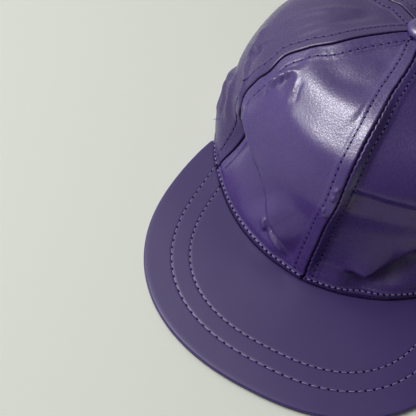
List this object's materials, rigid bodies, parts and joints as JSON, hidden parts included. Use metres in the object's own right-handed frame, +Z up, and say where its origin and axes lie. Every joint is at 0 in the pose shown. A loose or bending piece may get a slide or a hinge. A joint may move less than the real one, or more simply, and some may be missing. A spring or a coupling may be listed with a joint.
{
  "type": "faux leather cap",
  "caption": "Soft faux leather cap with a panelled crown open underneath for the head, a wide flat stitched peak and a covered button on top.",
  "frame": {"origin": "on the floor that the cap lies on, under the middle of the whole cap with its peak", "axes": "+Z up; the peak points to -Y; +X is the wearer's left"},
  "size_m": [0.181, 0.2724, 0.1021],
  "materials": {
    "crown_leather": "violet-blue faux leather, fine grain, soft satin gloss",
    "peak_leather": "violet-blue faux leather, smooth, satin",
    "peak_under_leather": "dark violet faux leather, satin",
    "button_leather": "violet-blue faux leather stretched over a button, glossy",
    "thread_light": "light lavender sewing thread",
    "thread_dark": "dark violet sewing thread"
  },
  "bodies": {
    "root": {"panel_front_right": "crown_leather", "panel_front_left": "crown_leather", "panel_side_right": "crown_leather", "panel_side_left": "crown_leather", "panel_back_right": "crown_leather", "panel_back_left": "crown_leather", "peak_top": "peak_leather", "peak_under": "peak_under_leather", "button": "button_leather"}
  },
  "joints": []
}
